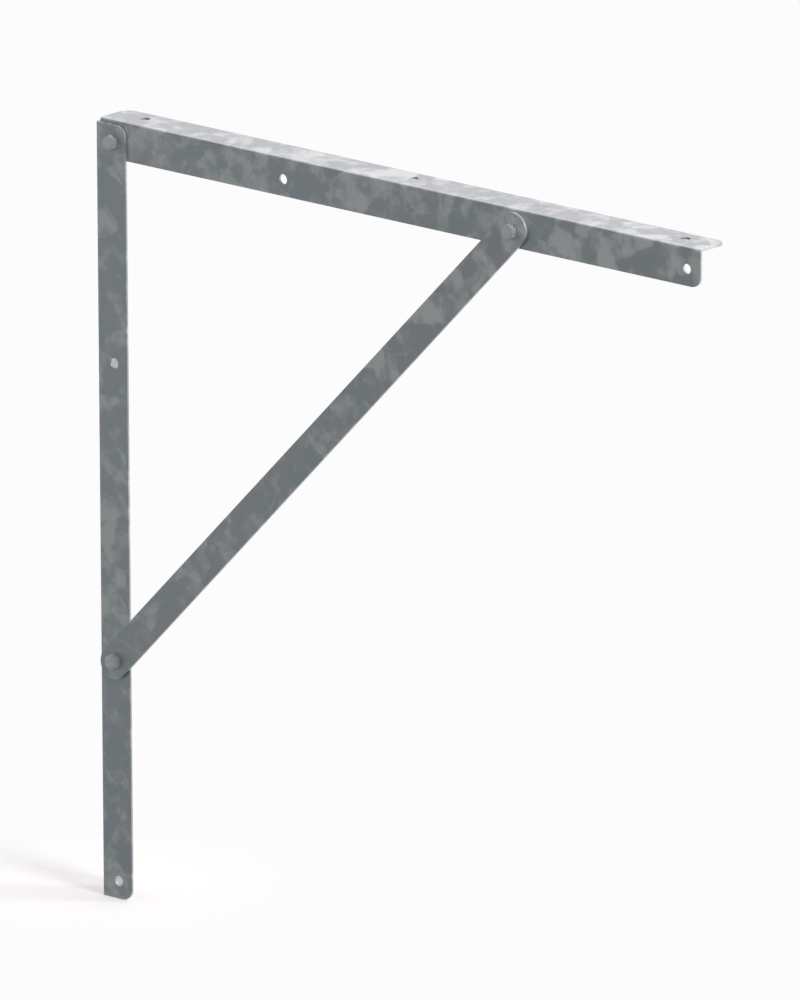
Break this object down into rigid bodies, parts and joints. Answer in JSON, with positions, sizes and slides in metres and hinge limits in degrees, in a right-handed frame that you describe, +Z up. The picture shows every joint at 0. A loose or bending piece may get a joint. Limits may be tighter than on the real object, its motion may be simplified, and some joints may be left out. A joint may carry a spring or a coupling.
{
  "type": "roof bracket",
  "caption": "Galvanised steel roof bracket: an angle post for the wall, a level angle arm for the roof and a flat diagonal brace, held by hexagon bolts.",
  "frame": {"origin": "on the wall face, half way across the wall flange and level with the corner bolt", "axes": "+X out from the wall along the arm, +Z up along the post, +Y across the bracket from the flanges with the bolts towards the free edges of the other flanges"},
  "size_m": [0.7038, 0.0462, 0.7038],
  "materials": {
    "galvanised_sheet": "dull mottled hot-dip galvanised grey",
    "zinc_fasteners": "satin zinc-coated steel"
  },
  "bodies": {
    "post": {"wall_post": "galvanised_sheet", "corner_bolt": "zinc_fasteners", "corner_washer": "zinc_fasteners", "corner_nut": "zinc_fasteners", "lower_bolt": "zinc_fasteners", "lower_washer": "zinc_fasteners", "lower_nut": "zinc_fasteners"},
    "arm": {"top_arm": "galvanised_sheet", "upper_bolt": "zinc_fasteners", "upper_washer": "zinc_fasteners", "upper_nut": "zinc_fasteners"},
    "brace": {"diagonal_brace": "galvanised_sheet"}
  },
  "joints": [
    {"name": "arm_fold", "type": "hinge", "parent": "post", "child": "arm", "pos_m": [0.0198, 0, 0], "axis": [0, 1, 0], "range_deg": [-5, 85]},
    {"name": "brace_swing", "type": "hinge", "parent": "post", "child": "brace", "pos_m": [0.0198, 0, -0.468], "axis": [0, 1, 0], "range_deg": [-24, 114]}
  ]
}
